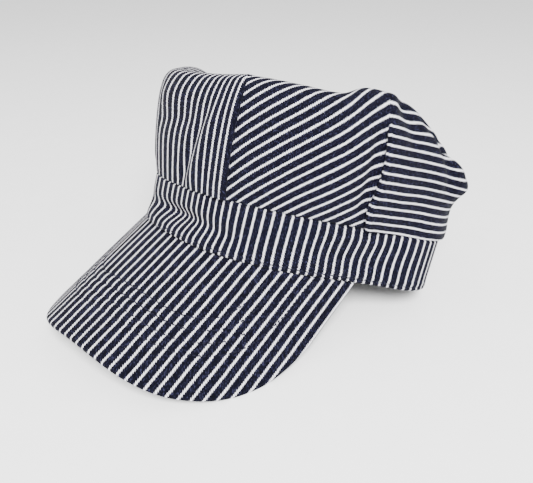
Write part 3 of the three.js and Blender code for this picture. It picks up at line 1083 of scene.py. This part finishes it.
def make_stitches(name, lines):
    """Short lock stitches along lines of (points, normals): each dives into the cloth at its ends."""
    part = np.linspace(-1, 1, STITCH_RINGS)
    thick = STITCH_RADIUS * np.sqrt(1 - STITCH_TAPER * part**2)
    rise = STITCH_RISE - STITCH_DIVE * part**2
    turn = 2 * np.pi * np.arange(STITCH_SIDES) / STITCH_SIDES
    vertices, faces = [], []
    for points, normals_on_line in lines:
        for place, along, up in zip(*even_steps(points, normals_on_line, STITCH_STEP)):
            side = np.cross(along, up)
            first = len(vertices)
            for p, radius, height in zip(part, thick, rise):
                centre = place + along * p * STITCH_LONG / 2 + up * height
                vertices += [centre + radius * (side * np.cos(a) + up * np.sin(a)) for a in turn]
            for i in range(STITCH_RINGS - 1):
                for k in range(STITCH_SIDES):
                    a = first + i * STITCH_SIDES + k
                    b = first + i * STITCH_SIDES + (k + 1) % STITCH_SIDES
                    faces.append((b, a, a + STITCH_SIDES, b + STITCH_SIDES))
            faces.append(tuple(range(first, first + STITCH_SIDES)))
            faces.append(tuple(reversed(range(len(vertices) - STITCH_SIDES, len(vertices)))))
    mesh = bpy.data.meshes.new(name)
    mesh.from_pydata(to_row(np.array(vertices)).tolist(), [], faces)
    mesh.shade_smooth()
    mesh.materials.append(navy_thread)
    obj = bpy.data.objects.new(name, mesh)
    bpy.context.scene.collection.objects.link(obj)
    return obj


def band_stitch_line():
    """The row of topstitching above the band's lower edge: its points and normals."""
    at = np.linspace(-1, 1, SEAM_STEPS)
    offset, z = band_outside(at, np.full_like(at, HEM_STITCH))
    x, y = plan.point(at, offset)
    tx, ty = plan.tangent(at)
    return np.stack([x, y, z], -1), np.stack([ty, -tx, np.zeros_like(tx)], -1)


def quilt_line(inward, side):
    """A row of quilting at a distance from the bill's rim, on its upper (+1) or lower (-1) face."""
    rim = bill_rim()
    step = np.gradient(rim, axis=0)
    step /= np.maximum(np.linalg.norm(step, axis=1), 1e-9)[:, None]
    line = rim + inward * np.stack([-step[:, 1], step[:, 0]], -1)
    away, _ = nearest_on(line, rim)
    share, reach = bill_form.lift(line)
    on_bill = (reach > QUILT_END) & (abs(share) < BILL_SIDE_SHARE - QUILT_CLEAR)
    keep = on_bill & (away > inward - QUILT_NEAR)
    share, reach = share[keep], reach[keep]
    n = bill_form.normal(share)
    middle = bill_form.point(share, reach) - n * BILL_THICKNESS / 2
    relief = quilt_relief(np.full(len(share), inward)) * (1 if side > 0 else QUILT_BELOW)
    return middle + n * side * (BILL_THICKNESS / 2 + relief)[:, None], n * side


def place_piece(obj, node=None):
    """Puts a piece on the cap's one body, and hides the model's part for the node that it stands for.
    """
    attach(obj, "root")
    if node:
        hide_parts(node)


# Camera, at the photograph's angle to the cap
VIEW_AZIMUTH = math.radians(35.5)
VIEW_ELEVATION = math.radians(11.2)
VIEW_ROLL = math.radians(13.9)
VIEW_DISTANCE = 369.6
VIEW_AIM = 16.8
PICTURE = (533.0, 483.0)
FOCAL_PIXELS = 517.7
AXIS_OFFSET = (4.7, -30.5)
SENSOR = 36.0


def make_camera():
    a, e, r = VIEW_AZIMUTH, VIEW_ELEVATION, VIEW_ROLL
    back = np.array([math.sin(a) * math.cos(e), -math.cos(a) * math.cos(e), math.sin(e)])
    level = np.array([math.cos(a), math.sin(a), 0.0])
    upward = np.cross(back, level)
    right = math.cos(r) * level + math.sin(r) * upward
    up = -math.sin(r) * level + math.cos(r) * upward
    lean = np.array([
        [1, 0, 0],
        [0, math.cos(LEAN), math.sin(LEAN)],
        [0, -math.sin(LEAN), math.cos(LEAN)],
    ])
    spot = lean @ (back * VIEW_DISTANCE + np.array([0, 0, VIEW_AIM])) + ORIGIN
    axes = np.stack([lean @ right, lean @ up, lean @ back], -1)
    data = bpy.data.cameras.new("camera")
    data.sensor_width = SENSOR
    data.lens = FOCAL_PIXELS / PICTURE[0] * SENSOR
    data.shift_x = -AXIS_OFFSET[0] / PICTURE[0]
    data.shift_y = AXIS_OFFSET[1] / PICTURE[0]
    data.clip_end = 20
    obj = bpy.data.objects.new("camera", data)
    bpy.context.scene.collection.objects.link(obj)
    matrix = Matrix.Identity(4)
    for i in range(3):
        for j in range(3):
            matrix[i][j] = axes[i, j]
        matrix[i][3] = spot[i] * MM
    obj.matrix_world = matrix
    bpy.context.scene.camera = obj


# Studio: the floor's size and the lights' aim in metres
FLOOR_SIZE = 6
LIGHT_AIM = (0.0, 0.0, 0.05)
SKY_STRENGTH = 1.4
FLOOR_LIGHT = (0.94, 0.94, 0.94, 1)
FLOOR_DARK = (0.90, 0.90, 0.90, 1)


def area_light(name, place, size, power):
    data = bpy.data.lights.new(name, "AREA")
    data.shape = "DISK"
    data.size = size
    data.energy = power
    obj = bpy.data.objects.new(name, data)
    bpy.context.scene.collection.objects.link(obj)
    obj.location = place
    obj.rotation_euler = (Vector(LIGHT_AIM) - Vector(place)).to_track_quat("-Z", "Y").to_euler()


def make_studio():
    bpy.ops.mesh.primitive_plane_add(size=FLOOR_SIZE, location=(0, 0, 0))
    floor = bpy.context.object
    floor.name = "floor"
    m = Nodes("pale floor")
    grain = m.noise(m.node("ShaderNodeTexCoord").outputs["Object"], 40.0, 3.0)
    m.feed(m.shader.inputs["Base Color"], m.mix(grain, FLOOR_DARK, FLOOR_LIGHT))
    m.shader.inputs["Roughness"].default_value = 0.9
    floor.data.materials.append(m.material)
    world = bpy.data.worlds.new("studio")
    bpy.context.scene.world = world
    world.use_nodes = True
    sky = world.node_tree.nodes["Background"]
    sky.inputs["Color"].default_value = (1, 1, 1, 1)
    sky.inputs["Strength"].default_value = SKY_STRENGTH
    area_light("key", (0.65, -0.55, 1.0), size=0.6, power=50)
    area_light("fill", (-0.9, -0.7, 0.6), size=0.9, power=2)


make_camera()
make_studio()
band = make_band()
place_piece(band, "band")
bill = make_bill()
place_piece(bill, "bill")
crown = make_crown()
place_piece(crown, "crown")
topstitch = make_stitches("band_topstitch", [band_stitch_line()])
place_piece(topstitch)
quilt_lines = [
    quilt_line(QUILT_FIRST + k * QUILT_STEP, side) for k in range(QUILT_ROWS) for side in (1, -1)
]
quilting = make_stitches("bill_quilting", quilt_lines)
place_piece(quilting)


def plain(corners):
    """Corners as lists of numbers."""
    return [[float(value) for value in corner] for corner in corners]
